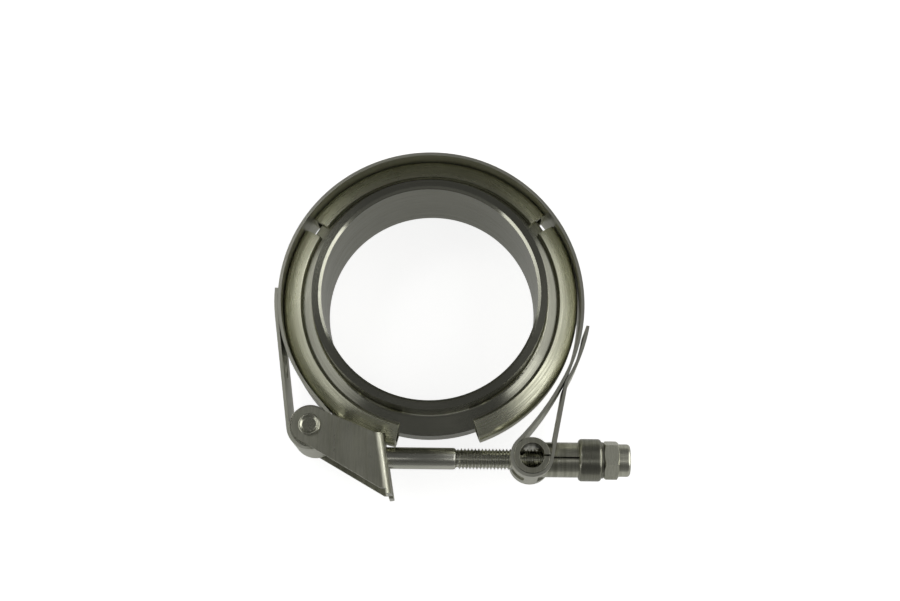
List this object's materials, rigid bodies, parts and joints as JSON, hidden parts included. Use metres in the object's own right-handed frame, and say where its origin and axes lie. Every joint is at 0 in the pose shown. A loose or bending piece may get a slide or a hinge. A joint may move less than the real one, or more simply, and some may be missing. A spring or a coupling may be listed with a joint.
{
  "type": "v band clamp",
  "caption": "Round V-band pipe clamp with strap, V-segments, T-bolt, swinging saddle, latch bracket and the mating weld flanges inside.",
  "frame": {"origin": "centre of the mating plane of the two flanges, on the pipe axis", "axes": "+Z along the pipe axis out of the upper flange; +X along the T-bolt towards its nut; the bolt and latch are on the -Y side"},
  "size_m": [0.1025, 0.1005, 0.0302],
  "materials": {
    "turned_stainless": "turned stainless steel, fine lathe marks",
    "formed_stainless": "bright rolled stainless sheet",
    "strap_stainless": "bright rolled stainless strip",
    "rivet_stainless": "tumbled stainless steel",
    "hardware_stainless": "rolled and drawn stainless steel",
    "nylon": "natural nylon"
  },
  "bodies": {
    "clamp": {"upper_flange": "turned_stainless", "lower_flange": "turned_stainless", "vee_segment_back": "formed_stainless", "vee_segment_left": "formed_stainless", "vee_segment_right": "formed_stainless", "strap": "strap_stainless", "latch_bracket": "formed_stainless", "latch_rivet": "rivet_stainless", "latch_spacer": "rivet_stainless"},
    "saddle": {"saddle": "formed_stainless", "saddle_collar": "hardware_stainless"},
    "bolt": {"t_bolt": "hardware_stainless"},
    "nut": {"lock_nut": "hardware_stainless", "nut_insert": "nylon"}
  },
  "joints": [
    {"name": "saddle_swing", "type": "hinge", "parent": "clamp", "child": "saddle", "pos_m": [0.0294, -0.04535, 0], "axis": [0, 0, 1], "range_deg": [0, 30]},
    {"name": "bolt_slide", "type": "slide", "parent": "saddle", "child": "bolt", "axis": [-1, 0, 0], "range_m": [0, 0.003]},
    {"name": "nut_turn", "type": "hinge", "parent": "saddle", "child": "nut", "pos_m": [0.0522, -0.04535, 0], "axis": [1, 0, 0], "range_deg": [0, 1080]}
  ],
  "couplings": [
    {"joint": "nut_turn", "follows": "bolt_slide", "rad_per_m": 6283.2}
  ]
}
